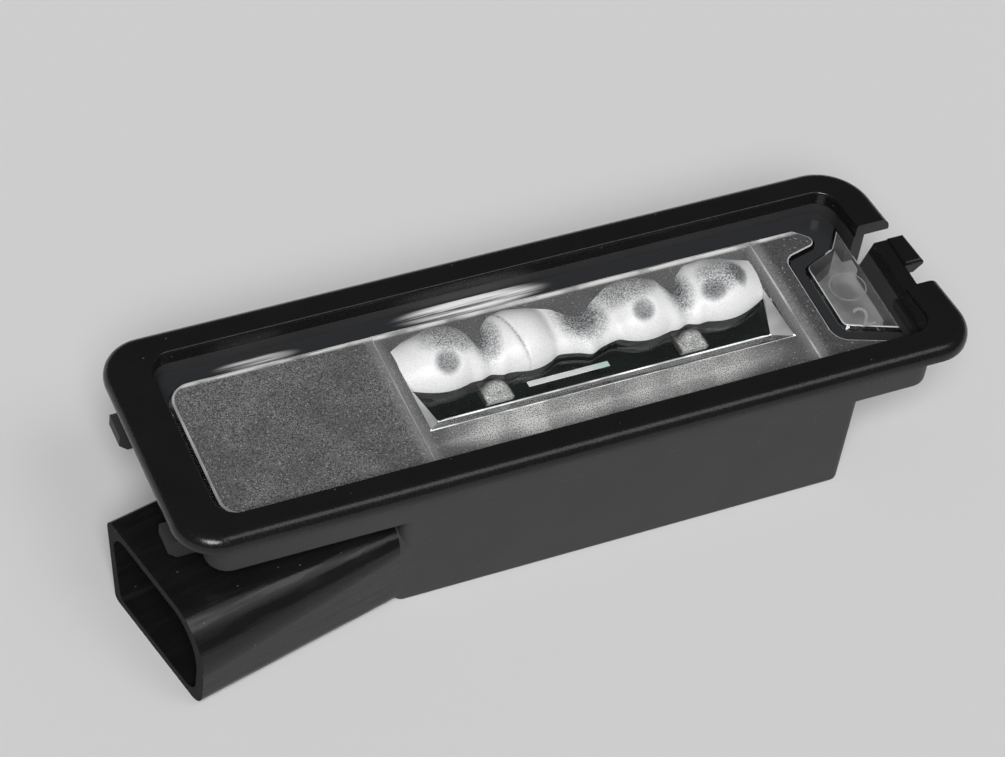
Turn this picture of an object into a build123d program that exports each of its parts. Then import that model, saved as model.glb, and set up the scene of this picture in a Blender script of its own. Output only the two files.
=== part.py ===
from build123d import *
import os
from math import cos, pi, radians, sin, tan

# Number plate lamp in millimetres. X runs along the lamp, Z points out of the lens,
# and the origin is the middle of the flange's underside, where the lamp seats on the body panel.

# Flange: the lip that stays in view when the lamp is fitted
FLANGE_LENGTH = 94.8
FLANGE_WIDTH = 30.7
FLANGE_HEIGHT = 1.8
FLANGE_CORNER_RADIUS = 5.0
FLANGE_BACK_CORNER_RADIUS = 6.5
FLANGE_EDGE_RADIUS = 1.5
RIGHT_END_SLANT = 5.4
LEFT_BAND = 5.05
SIDE_BAND = 3.7
RIGHT_BAND = 4.4
WINDOW_CORNER_RADIUS = 2.6
WINDOW_EDGE_RADIUS = 0.3

# Skirt: the tray that enters the panel's opening
SKIRT_END_STEP = 3.65
SKIRT_SIDE_STEP = 1.45
SKIRT_DEPTH = 5.3
SKIRT_CORNER_RADIUS = 2.5
SKIRT_EDGE_RADIUS = 0.3
TRAY_FLOOR = 1.4
POCKET_END_INSET = 5.0

# Box: the deep part that holds the circuit board
BOX_LENGTH = 56.2
BOX_END_INSET = 12.8
BOX_RECESS = 0.2
BOX_DEPTH = 19.5
BOX_CORNER_RADIUS = 1.2
BOX_EDGE_RADIUS = 0.5
BOX_END_WALL = 1.6
BOX_FLOOR = 1.6

# Plug shroud: a socket turned in plan, its mouth at the left end
SHROUD_ANGLE = 12.5
SHROUD_MOUTH_REACH = 27.25
SHROUD_MOUTH_Y_INSET = 3.5
SHROUD_WIDTH = 19.8
SHROUD_HEIGHT = 11.6
SHROUD_LENGTH = 32.0
SHROUD_STEPS = 8
SHROUD_BACK_LEAN = 2.4
SHROUD_ROOT_NARROWING = 0.6
SOCKET_NARROWING = 0.3
SHROUD_WALL = 1.0
SHROUD_MOUTH_SHOULDER = 6.3
SHROUD_ROOT_SHOULDER = 1.6
SHROUD_FOOT_RADIUS = 2.0
SHROUD_BACK_RADIUS = 1.0
SOCKET_BACK_RADIUS = 2.2
SOCKET_DEPTH = 22.0

# Hooks under the left end of the flange
HOOK_REACH = 3.2
HOOK_GAP = 4.3
HOOK_DEPTH = 6.9
HOOK_ROOT = 1.8
HOOK_LEAD = 1.0
FRONT_HOOK_WIDTH = 3.0
FRONT_HOOK_Y = -7.5
BACK_HOOK_WIDTH = 3.3
BACK_HOOK_Y = 8.4

# Spring tongue, its catch and the gap in the flange's right end
GAP_FRONT_Y = -5.1
GAP_BACK_Y = 5.2
TONGUE_LEFT_INSET = 5.3
TONGUE_BEND_DEPTH = 2.2
TONGUE_TOP_INSET = 4.0
TONGUE_TOP_WIDTH = 1.8
TONGUE_THICKNESS = 1.5
TONGUE_TOP_BELOW_FLANGE = 0.5
TONGUE_BACK_Y = 2.6
CATCH_FRONT_Y = -1.9
CATCH_INNER_INSET = 2.3
CATCH_FOOT = 1.2
CATCH_LEAD = 1.1
CATCH_EDGE_RADIUS = 0.5

# Lens: welded to a ledge at the foot of the window
LENS_RIM_BELOW_FLANGE = 3.2
LENS_RIM_THICKNESS = 1.8
LENS_FIT = 0.15
LENS_END_INSET = 5.75
LEDGE_WIDTH = 1.5
PLATEAU_INSET = 1.0
PLATEAU_BACK_INSET = 2.35
PLATEAU_RISE = 0.6
PLATEAU_BEVEL = 0.4
PLATEAU_CORNER_RADIUS = 3.0

# Weld groove at the lens's right end, between the frosted plateau and the clear pad.
# Lengths run back from the lens's end, widths in from the window's front or back wall.
GROOVE_LEFT = 7.8
GROOVE_RIGHT = 6.55
GROOVE_CORNER_RADIUS = 1.2
GROOVE_HEEL_RADIUS = 2.0
SHOULDER_LENGTH = 5.25
TIP_LENGTH = 2.15
TIP_FROM_BACK = 5.25
NECK_FROM_BACK = 6.6
HEEL_FROM_FRONT = 4.05
TOE_LENGTH = 1.65
TOE_FROM_FRONT = 1.85
TOE_RADIUS = 0.45
PAD_NECK_FROM_BACK = 8.2
PAD_SHOULDER_LENGTH = 2.35
PAD_SHOULDER_FROM_BACK = 6.55
PAD_FROM_BACK = 3.35
PAD_HEEL_FROM_FRONT = 5.25
PAD_FROM_FRONT = 2.75
WELD_WALL = 1.0

# Optic trough, and behind it a frosted ridge that swells into two lobes beside each light source
OPTIC_END_GAP = 4.1
OPTIC_SHIFT = 0.4
TROUGH_FROM_FRONT = 6.05
RIDGE_FROM_BACK = 3.15
RIDGE_LAP = 5.1
TROUGH_DEPTH = 1.9
TROUGH_FLOOR = 1.2
TROUGH_WALL = 1.2
TROUGH_CORNER_RADIUS = 0.8
TROUGH_FRONT_SLOPE = 2.1
TROUGH_FRONT_DROP = 1.5
FIELD_MARGIN = 1.4
FIELD_STEP = 0.2
LOBE_SPACING = 10.2
DIP_SPACING = 7.6

# The ridge's cross-sections: gap to its back line, width, and height above the trough's floor
RIDGE_END = (1.5, 5.1, 1.9)
RIDGE_LOBE = (0.1, 8.2, 3.5)
RIDGE_NECK = (3.7, 3.1, 1.85)
RIDGE_DIP = (2.4, 4.8, 1.95)
RIDGE_MIDDLE = (2.7, 5.5, 1.85)
RIDGE_STEPS = 4

# Circuit board on ribs and two staked pegs
BOARD_TOP_DEPTH = 7.3
BOARD_THICKNESS = 1.6
BOARD_FIT = 0.4
BOARD_CORNER_RADIUS = 1.0
RIB_WIDTH = 1.5
RIB_REACH = 1.8
RIB_COUNT = 4
PEG_RADIUS = 1.2
PEG_FIT = 0.1
PEG_BOSS_RADIUS = 2.4
PEG_HEAD_RADIUS = 1.9
PEG_HEAD_HEIGHT = 0.8
PEG_END_INSET = 4.0
PEG_SIDE_INSET = 2.55

# Contacts: two pins, level in the socket and bent up into the board
PIN_WIDTH = 1.5
PIN_THICKNESS = 0.8
PIN_SPACING = 5.0
PIN_TIP_INSET = 10.0
PIN_RISE_INSET = 32.5
PIN_BEND_RADIUS = 1.0
PIN_TIP_TAPER = 0.5
PIN_STICK_OUT = 0.9
PIN_FIT = 0.05

# Parts on the board
LED_EXTRA_SPACING = 2.05
LED_OFFSET = 0.9
LED_Y = 1.0
LED_SIDE = 3.5
LED_BODY = 0.8
LED_DOME_RADIUS = 1.4
CHIP_LENGTH = 3.2
CHIP_WIDTH = 1.6
CHIP_HEIGHT = 0.6
CHIP_CAP = 0.5
CHIP_CAP_STEP = 0.05
CAPACITOR_HEIGHT = 1.2
DIODE_LENGTH = 4.2
DIODE_WIDTH = 2.6
DIODE_HEIGHT = 2.0
DIODE_TAPER = 8.0
DIODE_LEAD_WIDTH = 1.4
DIODE_LEAD_LENGTH = 0.6
DIODE_LEAD_THICKNESS = 0.3
REGULATOR_LENGTH = 6.5
REGULATOR_WIDTH = 3.5
REGULATOR_HEIGHT = 1.6
REGULATOR_LEG_PITCH = 2.3
REGULATOR_LEG_WIDTH = 0.7
REGULATOR_LEG_REACH = 1.2
REGULATOR_LEG_THICKNESS = 0.3
REGULATOR_TAB_WIDTH = 3.0
RESISTOR_COUNT = 4
FRONT_ROW_INSET = 3.15
BACK_ROW_INSET = 2.15
PART_GAP = 1.5
ROW_START_INSET = 9.0

# Heights and places worked out from the sizes above
CUT = 1.0
FLANGE_END_X = FLANGE_LENGTH / 2
SKIRT_LENGTH = FLANGE_LENGTH - 2 * SKIRT_END_STEP
SKIRT_WIDTH = FLANGE_WIDTH - 2 * SKIRT_SIDE_STEP
WINDOW_LEFT = -FLANGE_END_X + LEFT_BAND
WINDOW_HALF_WIDTH = FLANGE_WIDTH / 2 - SIDE_BAND
LENS_END_X = FLANGE_END_X - LENS_END_INSET
POCKET_END_X = FLANGE_END_X - POCKET_END_INSET
CATCH_INNER_X = FLANGE_END_X - CATCH_INNER_INSET
RIM_TOP = FLANGE_HEIGHT - LENS_RIM_BELOW_FLANGE
LEDGE_TOP = RIM_TOP - LENS_RIM_THICKNESS
PLATEAU_TOP = RIM_TOP + PLATEAU_RISE
TROUGH_BOTTOM = PLATEAU_TOP - TROUGH_DEPTH
TROUGH_FRONT_Y = -WINDOW_HALF_WIDTH + TROUGH_FROM_FRONT
RIDGE_BACK_Y = WINDOW_HALF_WIDTH - RIDGE_FROM_BACK
TROUGH_BACK_Y = RIDGE_BACK_Y - RIDGE_LAP
BOARD_TOP = -BOARD_TOP_DEPTH
BOARD_UNDERSIDE = BOARD_TOP - BOARD_THICKNESS
BOX_WIDTH = SKIRT_WIDTH - 2 * BOX_RECESS
BOX_CENTRE_X = FLANGE_END_X - BOX_END_INSET - BOX_LENGTH / 2
CAVITY_LENGTH = BOX_LENGTH - 2 * BOX_END_WALL
CAVITY_WIDTH = 2 * (WINDOW_HALF_WIDTH - LEDGE_WIDTH)
CAVITY_FLOOR = -BOX_DEPTH + BOX_FLOOR
CAVITY_LEFT = BOX_CENTRE_X - CAVITY_LENGTH / 2
OPTIC_CENTRE_X = BOX_CENTRE_X + OPTIC_SHIFT
OPTIC_LENGTH = CAVITY_LENGTH - 2 * OPTIC_END_GAP
LED_SPACING = OPTIC_LENGTH / 2 + LED_EXTRA_SPACING
PEG_SPACING = CAVITY_LENGTH - 2 * PEG_END_INSET
PEG_Y = CAVITY_WIDTH / 2 - PEG_SIDE_INSET
FRONT_ROW_Y = -CAVITY_WIDTH / 2 + FRONT_ROW_INSET
BACK_ROW_Y = CAVITY_WIDTH / 2 - BACK_ROW_INSET
SHROUD_MOUTH_X = BOX_CENTRE_X - BOX_LENGTH / 2 - SHROUD_MOUTH_REACH
SHROUD_MOUTH_Y = -SKIRT_WIDTH / 2 + SHROUD_MOUTH_Y_INSET
SHROUD_MIDDLE_Z = -BOX_DEPTH + SHROUD_HEIGHT / 2
SHROUD_AXIS = Vector(-cos(radians(SHROUD_ANGLE)), -sin(radians(SHROUD_ANGLE)), 0)
SHROUD_ACROSS = Vector(sin(radians(SHROUD_ANGLE)), -cos(radians(SHROUD_ANGLE)), 0)
SHROUD_MOUTH = Vector(SHROUD_MOUTH_X, SHROUD_MOUTH_Y, SHROUD_MIDDLE_Z)


def rounded_polygon(corners):
    """A face through (x, y, radius) corners, each rounded by its own radius."""
    outline = make_face(Polyline(*[(x, y) for x, y, radius in corners], close=True))
    for x, y, radius in corners:
        vertex = outline.vertices().sort_by_distance((x, y, 0))[0]
        outline = fillet(vertex, radius)
    return outline


def slanted_outline(left, half_width, right, radius, back_radius):
    """A plan outline with three square sides and a right end that leans."""
    lean = half_width * tan(radians(RIGHT_END_SLANT))
    corners = [
        (left, -half_width, radius),
        (right + lean, -half_width, radius),
        (right - lean, half_width, back_radius),
        (left, half_width, radius),
    ]
    return rounded_polygon(corners)


def pocket_outline(clearance, end_x):
    """The lens's seat at the foot of the window, or with a clearance the lens itself."""
    left = WINDOW_LEFT + clearance
    half_width = WINDOW_HALF_WIDTH - clearance
    radius = WINDOW_CORNER_RADIUS - clearance
    corners = [
        (left, -half_width, radius),
        (end_x, -half_width, radius),
        (end_x, half_width, radius),
        (left, half_width, radius),
    ]
    return rounded_polygon(corners)


def plateau_outline():
    """The raised frosted area: its right end is drawn in along the weld groove."""
    left = WINDOW_LEFT + PLATEAU_INSET
    front = -WINDOW_HALF_WIDTH + PLATEAU_INSET
    back = WINDOW_HALF_WIDTH - PLATEAU_BACK_INSET
    toe_x = LENS_END_X - TOE_LENGTH
    groove_x = LENS_END_X - GROOVE_LEFT
    corners = [
        (left, front, PLATEAU_CORNER_RADIUS),
        (toe_x, front, TOE_RADIUS),
        (toe_x, -WINDOW_HALF_WIDTH + TOE_FROM_FRONT, TOE_RADIUS),
        (groove_x, -WINDOW_HALF_WIDTH + HEEL_FROM_FRONT, GROOVE_HEEL_RADIUS),
        (groove_x, WINDOW_HALF_WIDTH - NECK_FROM_BACK, GROOVE_CORNER_RADIUS),
        (LENS_END_X - TIP_LENGTH, WINDOW_HALF_WIDTH - TIP_FROM_BACK, GROOVE_CORNER_RADIUS),
        (LENS_END_X - SHOULDER_LENGTH, back, GROOVE_CORNER_RADIUS),
        (left, back, PLATEAU_CORNER_RADIUS),
    ]
    return rounded_polygon(corners)


def pad_outline(inset):
    """The clear pad beyond the groove, drawn in by an inset on the groove's side."""
    groove_x = LENS_END_X - GROOVE_RIGHT + inset
    front = -WINDOW_HALF_WIDTH + inset
    back = WINDOW_HALF_WIDTH - inset
    corners = [
        (groove_x, front + PAD_HEEL_FROM_FRONT),
        (LENS_END_X, front + PAD_FROM_FRONT),
        (LENS_END_X, back - PAD_FROM_BACK),
        (LENS_END_X - PAD_SHOULDER_LENGTH, back - PAD_SHOULDER_FROM_BACK),
        (groove_x, back - PAD_NECK_FROM_BACK),
    ]
    outline = make_face(Polyline(*corners, close=True))
    inner = [outline.vertices().sort_by_distance((*corners[index], 0))[0] for index in (0, 3, 4)]
    return fillet(inner, GROOVE_CORNER_RADIUS)


def shroud_section(distance, inset, narrowing, shoulder, back_radius):
    """The shroud's cross-section at a distance in from the mouth, with its rounded front shoulder."""
    back = -SHROUD_WIDTH / 2 + inset
    front = SHROUD_WIDTH / 2 - inset - narrowing
    half_height = SHROUD_HEIGHT / 2 - inset
    plane = Plane(SHROUD_MOUTH - SHROUD_AXIS * distance, x_dir=SHROUD_ACROSS, z_dir=SHROUD_AXIS)
    corners = [
        (back + SHROUD_BACK_LEAN, -half_height, SHROUD_BACK_RADIUS),
        (front, -half_height, SHROUD_FOOT_RADIUS),
        (front, half_height, shoulder),
        (back, half_height, back_radius),
    ]
    return plane * rounded_polygon(corners)


def shroud_shell():
    """The shroud's outside: a square root that swells into a round-shouldered mouth."""
    sections = []
    for step in range(SHROUD_STEPS + 1):
        share = step / SHROUD_STEPS
        shoulder = SHROUD_MOUTH_SHOULDER + share * (SHROUD_ROOT_SHOULDER - SHROUD_MOUTH_SHOULDER)
        shape = (share * SHROUD_ROOT_NARROWING, shoulder, SHROUD_BACK_RADIUS)
        sections.append(shroud_section(share * SHROUD_LENGTH, 0, *shape))
    return loft(sections, ruled=True)


def socket_space():
    """The room inside the shroud that takes the plug."""
    shoulder = SHROUD_MOUTH_SHOULDER - SHROUD_WALL
    section = shroud_section(-CUT, SHROUD_WALL, SOCKET_NARROWING, shoulder, SOCKET_BACK_RADIUS)
    return extrude(section, -SOCKET_DEPTH - CUT)


def hook(width, middle_y):
    """A left hook: an L under the skirt whose nose reaches out below the flange."""
    inner = -SKIRT_LENGTH / 2 + HOOK_ROOT
    face = -SKIRT_LENGTH / 2
    nose = face - HOOK_REACH
    corners = [
        (inner, -SKIRT_DEPTH + SKIRT_EDGE_RADIUS),
        (inner, -HOOK_DEPTH),
        (nose + HOOK_LEAD, -HOOK_DEPTH),
        (nose, -HOOK_DEPTH + HOOK_LEAD),
        (nose, -HOOK_GAP),
        (face + SKIRT_EDGE_RADIUS, -HOOK_GAP),
        (face + SKIRT_EDGE_RADIUS, -SKIRT_DEPTH + SKIRT_EDGE_RADIUS),
    ]
    side = Plane((0, middle_y, 0), x_dir=(1, 0, 0), z_dir=(0, -1, 0))
    return extrude(side * make_face(Polyline(*corners, close=True)), width / 2, both=True)


def right_end_slab(front_y, back_y, inner_x, top, bottom):
    """A block across the flange's right end."""
    outer_x = FLANGE_END_X + FLANGE_WIDTH
    block = Box(outer_x - inner_x, back_y - front_y, top - bottom, align=Align.MIN)
    return Pos(inner_x, front_y, bottom) * block


def catch():
    """The tongue's catch: a piece in line with the lip, ramped under its outer edge."""
    block = make_blank() & right_end_slab(CATCH_FRONT_Y, TONGUE_BACK_Y, CATCH_INNER_X, FLANGE_HEIGHT, 0)
    block = fillet(block.edges().group_by(Axis.Z)[-1], CATCH_EDGE_RADIUS)
    ramp_edge = block.faces().sort_by(Axis.Z)[0].edges().sort_by(Axis.X)[-1]
    return chamfer(ramp_edge, CATCH_LEAD)


def tongue():
    """The spring tongue: a plate that leans out from the window's front corner, with its catch."""
    top = FLANGE_HEIGHT - TONGUE_TOP_BELOW_FLANGE
    left = FLANGE_END_X - TONGUE_LEFT_INSET
    top_left = FLANGE_END_X - TONGUE_TOP_INSET
    corners = [
        (left, -SKIRT_DEPTH),
        (left, -TONGUE_BEND_DEPTH),
        (top_left, top),
        (top_left + TONGUE_TOP_WIDTH, top),
        (top_left + TONGUE_TOP_WIDTH, top - TONGUE_THICKNESS),
        (left + TONGUE_THICKNESS, -TONGUE_BEND_DEPTH),
        (left + TONGUE_THICKNESS, -SKIRT_DEPTH),
    ]
    side = Plane((0, TONGUE_BACK_Y, 0), x_dir=(1, 0, 0), z_dir=(0, -1, 0))
    plate = extrude(side * make_face(Polyline(*corners, close=True)), TONGUE_BACK_Y + WINDOW_HALF_WIDTH)
    foot_inner = CATCH_INNER_X - CATCH_FOOT
    foot_size = (2 * CATCH_FOOT, TONGUE_BACK_Y - CATCH_FRONT_Y, top)
    foot = Pos(foot_inner, CATCH_FRONT_Y, 0) * Box(*foot_size, align=Align.MIN)
    return plate + foot + catch()


def tongue_gap():
    """The opening through lip and skirt in which the tongue bends."""
    return right_end_slab(GAP_FRONT_Y, GAP_BACK_Y, LENS_END_X, FLANGE_HEIGHT + CUT, -SKIRT_DEPTH - CUT)


def peg_places():
    return [(BOX_CENTRE_X + side * PEG_SPACING / 2, PEG_Y) for side in (-1, 1)]


def pin_places():
    """Where the pins stand in the shroud's cross-section."""
    return [-PIN_SPACING / 2, PIN_SPACING / 2]


def pin_path_plane(across):
    """A plane along the shroud's axis, with X running inwards from the mouth and Y up."""
    origin = SHROUD_MOUTH + SHROUD_ACROSS * across
    return Plane(origin, x_dir=-SHROUD_AXIS, z_dir=SHROUD_ACROSS)


def board_supports():
    """Ribs along both walls of the box, and two bosses with staked pegs."""
    height = BOARD_UNDERSIDE - CAVITY_FLOOR
    supports = []
    pitch = CAVITY_LENGTH / RIB_COUNT
    for side in (-1, 1):
        for index in range(RIB_COUNT):
            x = BOX_CENTRE_X + (index - (RIB_COUNT - 1) / 2) * pitch
            y = side * (CAVITY_WIDTH - RIB_REACH) / 2
            supports.append(Pos(x, y, CAVITY_FLOOR + height / 2) * Box(RIB_WIDTH, RIB_REACH, height))
    for x, y in peg_places():
        supports.append(Pos(x, y, CAVITY_FLOOR) * extrude(Circle(PEG_BOSS_RADIUS), height))
        supports.append(Pos(x, y, BOARD_UNDERSIDE) * extrude(Circle(PEG_RADIUS), BOARD_THICKNESS))
        head = extrude(Circle(PEG_HEAD_RADIUS), PEG_HEAD_HEIGHT)
        head = fillet(head.edges().group_by(Axis.Z)[-1], PEG_HEAD_HEIGHT / 2)
        supports.append(Pos(x, y, BOARD_TOP) * head)
    return supports


def make_blank():
    """The flange before its window is cut and its edge rounded."""
    shape = (-FLANGE_END_X, FLANGE_WIDTH / 2, FLANGE_END_X)
    return extrude(slanted_outline(*shape, FLANGE_CORNER_RADIUS, FLANGE_BACK_CORNER_RADIUS), FLANGE_HEIGHT)


def make_housing():
    lip = make_blank()
    lip = fillet(lip.edges().group_by(Axis.Z)[-1], FLANGE_EDGE_RADIUS)
    window_shape = (WINDOW_LEFT, WINDOW_HALF_WIDTH, FLANGE_END_X - RIGHT_BAND)
    window = slanted_outline(*window_shape, WINDOW_CORNER_RADIUS, WINDOW_CORNER_RADIUS)
    ring = lip - extrude(window, FLANGE_HEIGHT)
    ring = fillet(ring.faces().sort_by(Axis.Z)[-1].inner_wires()[0].edges(), WINDOW_EDGE_RADIUS)
    skirt = extrude(RectangleRounded(SKIRT_LENGTH, SKIRT_WIDTH, SKIRT_CORNER_RADIUS), -SKIRT_DEPTH)
    skirt = fillet(skirt.edges().group_by(Axis.Z)[0], SKIRT_EDGE_RADIUS)
    box = extrude(RectangleRounded(BOX_LENGTH, BOX_WIDTH, BOX_CORNER_RADIUS), -BOX_DEPTH)
    box = Pos(BOX_CENTRE_X, 0, 0) * fillet(box.edges().group_by(Axis.Z)[0], BOX_EDGE_RADIUS)
    body = ring + skirt + box + shroud_shell()
    body -= Pos(0, 0, LEDGE_TOP) * extrude(pocket_outline(0, POCKET_END_X), -LEDGE_TOP)
    tray_left = WINDOW_LEFT + LEDGE_WIDTH
    tray_right = LENS_END_X - GROOVE_LEFT - WELD_WALL
    tray_floor = -SKIRT_DEPTH + TRAY_FLOOR
    tray = Pos((tray_left + tray_right) / 2, 0, tray_floor) * Rectangle(tray_right - tray_left, CAVITY_WIDTH)
    body -= extrude(tray, LEDGE_TOP - tray_floor)
    cavity = Pos(BOX_CENTRE_X, 0, CAVITY_FLOOR) * Rectangle(CAVITY_LENGTH, CAVITY_WIDTH)
    body -= extrude(cavity, LEDGE_TOP - CAVITY_FLOOR)
    body -= socket_space()
    body -= Pos(0, 0, -SKIRT_DEPTH - CUT) * extrude(pad_outline(WELD_WALL), LEDGE_TOP + SKIRT_DEPTH + CUT)
    body -= tongue_gap()
    body += tongue()
    body += [hook(FRONT_HOOK_WIDTH, FRONT_HOOK_Y), hook(BACK_HOOK_WIDTH, BACK_HOOK_Y)]
    body += board_supports()
    for across in pin_places():
        slot = pin_path_plane(across) * Rectangle(2 * PIN_RISE_INSET, PIN_THICKNESS + 2 * PIN_FIT)
        body -= extrude(slot, PIN_WIDTH / 2 + PIN_FIT, both=True)
    return body


def ridge_section(x, shape):
    """A cross-section of the optic's ridge: half an ellipse on the level of the trough's floor."""
    gap, width, height = shape
    side = Plane((x, RIDGE_BACK_Y - gap - width / 2, TROUGH_BOTTOM), x_dir=(0, 1, 0), z_dir=(1, 0, 0))
    half = width / 2
    foot = -TROUGH_FLOOR / 2
    dome = EllipticalCenterArc((0, 0), half, height, start_angle=0, arc_size=180)
    rest = Polyline((-half, 0), (-half, foot), (half, foot), (half, 0))
    return side * make_face(dome + rest)


def ridge():
    """The ridge: two lobes with a neck between them over each light source, and a low middle."""
    left_pair, right_pair = pair_places()
    stations = [
        (OPTIC_CENTRE_X - OPTIC_LENGTH / 2, RIDGE_END),
        (left_pair - LOBE_SPACING / 2, RIDGE_LOBE),
        (left_pair, RIDGE_NECK),
        (left_pair + LOBE_SPACING / 2, RIDGE_LOBE),
        (OPTIC_CENTRE_X - DIP_SPACING / 2, RIDGE_DIP),
        (OPTIC_CENTRE_X, RIDGE_MIDDLE),
        (OPTIC_CENTRE_X + DIP_SPACING / 2, RIDGE_DIP),
        (right_pair - LOBE_SPACING / 2, RIDGE_LOBE),
        (right_pair, RIDGE_NECK),
        (right_pair + LOBE_SPACING / 2, RIDGE_LOBE),
        (OPTIC_CENTRE_X + OPTIC_LENGTH / 2, RIDGE_END),
    ]
    sections = [ridge_section(*stations[0])]
    for (start_x, start_shape), (end_x, end_shape) in zip(stations, stations[1:]):
        for step in range(1, RIDGE_STEPS + 1):
            share = step / RIDGE_STEPS
            rises = end_shape[-1] > start_shape[-1]
            swell = sin(pi / 2 * share) if rises else 1 - cos(pi / 2 * share)
            shape = [start + swell * (end - start) for start, end in zip(start_shape, end_shape)]
            sections.append(ridge_section(start_x + share * (end_x - start_x), shape))
    return loft(sections)


def pair_places():
    """The middles of the two pairs of lobes."""
    return [OPTIC_CENTRE_X - LED_SPACING / 2, OPTIC_CENTRE_X + LED_SPACING / 2]


def make_lens():
    plate = Pos(0, 0, LEDGE_TOP) * extrude(pocket_outline(LENS_FIT, LENS_END_X), LENS_RIM_THICKNESS)
    raised = extrude(plateau_outline(), PLATEAU_RISE)
    raised = chamfer(raised.edges().group_by(Axis.Z)[-1], PLATEAU_BEVEL)
    pad = extrude(pad_outline(0), PLATEAU_RISE)
    pad = chamfer(pad.edges().group_by(Axis.Z)[-1], PLATEAU_BEVEL)
    lens = plate + [Pos(0, 0, RIM_TOP) * raised, Pos(0, 0, RIM_TOP) * pad]
    optic_width = RIDGE_BACK_Y - TROUGH_FRONT_Y
    optic_place = Pos(OPTIC_CENTRE_X, (RIDGE_BACK_Y + TROUGH_FRONT_Y) / 2, 0)
    tub_length = OPTIC_LENGTH + 2 * TROUGH_WALL
    tub = RectangleRounded(tub_length, optic_width + 2 * TROUGH_WALL, TROUGH_CORNER_RADIUS + TROUGH_WALL)
    tub_bottom = TROUGH_BOTTOM - TROUGH_FLOOR
    lens += optic_place * Pos(0, 0, tub_bottom) * extrude(tub, RIM_TOP - tub_bottom)
    field = Rectangle(OPTIC_LENGTH + 2 * FIELD_MARGIN, FLANGE_WIDTH)
    lens -= Pos(OPTIC_CENTRE_X, 0, PLATEAU_TOP - FIELD_STEP) * extrude(field, FIELD_STEP + CUT)
    trough = extrude(Rectangle(OPTIC_LENGTH, TROUGH_BACK_Y - TROUGH_FRONT_Y), TROUGH_DEPTH + CUT)
    floor = trough.faces().sort_by(Axis.Z)[0]
    front_edge = floor.edges().sort_by(Axis.Y)[0]
    trough = chamfer(front_edge, TROUGH_FRONT_SLOPE, TROUGH_FRONT_DROP, reference=floor)
    lens -= Pos(OPTIC_CENTRE_X, (TROUGH_BACK_Y + TROUGH_FRONT_Y) / 2, TROUGH_BOTTOM) * trough
    return lens + ridge()


def make_board():
    length = CAVITY_LENGTH - 2 * BOARD_FIT
    width = CAVITY_WIDTH - 2 * BOARD_FIT
    outline = Pos(BOX_CENTRE_X, 0, BOARD_UNDERSIDE) * RectangleRounded(length, width, BOARD_CORNER_RADIUS)
    board = extrude(outline, BOARD_THICKNESS)
    for x, y in peg_places():
        board -= Pos(x, y, BOARD_UNDERSIDE) * extrude(Circle(PEG_RADIUS + PEG_FIT), BOARD_THICKNESS)
    pin_reach = (PIN_WIDTH ** 2 + PIN_THICKNESS ** 2) ** 0.5 / 2 + PIN_FIT
    for across in pin_places():
        foot = pin_path_plane(across).from_local_coords((PIN_RISE_INSET, 0, 0))
        board -= Pos(foot.X, foot.Y, BOARD_UNDERSIDE) * extrude(Circle(pin_reach), BOARD_THICKNESS)
    return board


def make_contact(across):
    """A pin: level from its tip in the socket to the bend, then up through the board."""
    half = PIN_THICKNESS / 2
    top = BOARD_TOP + PIN_STICK_OUT - SHROUD_MIDDLE_Z
    heel = (PIN_RISE_INSET + half, -half)
    corners = [
        (PIN_TIP_INSET, -half / 2),
        (PIN_TIP_INSET + PIN_TIP_TAPER, -half),
        heel,
        (PIN_RISE_INSET + half, top),
        (PIN_RISE_INSET - half, top),
        (PIN_RISE_INSET - half, half),
        (PIN_TIP_INSET + PIN_TIP_TAPER, half),
        (PIN_TIP_INSET, half / 2),
    ]
    outline = make_face(Polyline(*corners, close=True))
    outline = fillet(outline.vertices().sort_by_distance(heel + (0,))[0], PIN_BEND_RADIUS)
    return extrude(pin_path_plane(across) * outline, PIN_WIDTH / 2, both=True)


def make_led(pair_x):
    """A light source beside its pair of lobes: a square package with a clear dome."""
    body = extrude(Rectangle(LED_SIDE, LED_SIDE), LED_BODY)
    dome = Sphere(LED_DOME_RADIUS, arc_size1=0, align=(Align.CENTER, Align.CENTER, Align.MIN))
    return Pos(pair_x + LED_OFFSET, LED_Y, BOARD_TOP) * (body + Pos(0, 0, LED_BODY) * dome)


def make_chip(height):
    """A chip part: a small block with two end caps that stand a little proud."""
    block = Pos(0, 0, height / 2) * Box(CHIP_LENGTH, CHIP_WIDTH, height)
    for side in (-1, 1):
        x = side * (CHIP_LENGTH - CHIP_CAP) / 2
        cap_height = height + CHIP_CAP_STEP
        block += Pos(x, 0, cap_height / 2) * Box(CHIP_CAP, CHIP_WIDTH + 2 * CHIP_CAP_STEP, cap_height)
    return block


def make_diode():
    """A moulded diode: a tapered body with a lead under each end."""
    body = extrude(Rectangle(DIODE_LENGTH, DIODE_WIDTH), DIODE_HEIGHT, taper=DIODE_TAPER)
    lead_size = (DIODE_LENGTH + 2 * DIODE_LEAD_LENGTH, DIODE_LEAD_WIDTH, DIODE_LEAD_THICKNESS)
    return body + Pos(0, 0, DIODE_LEAD_THICKNESS / 2) * Box(*lead_size)


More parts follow.
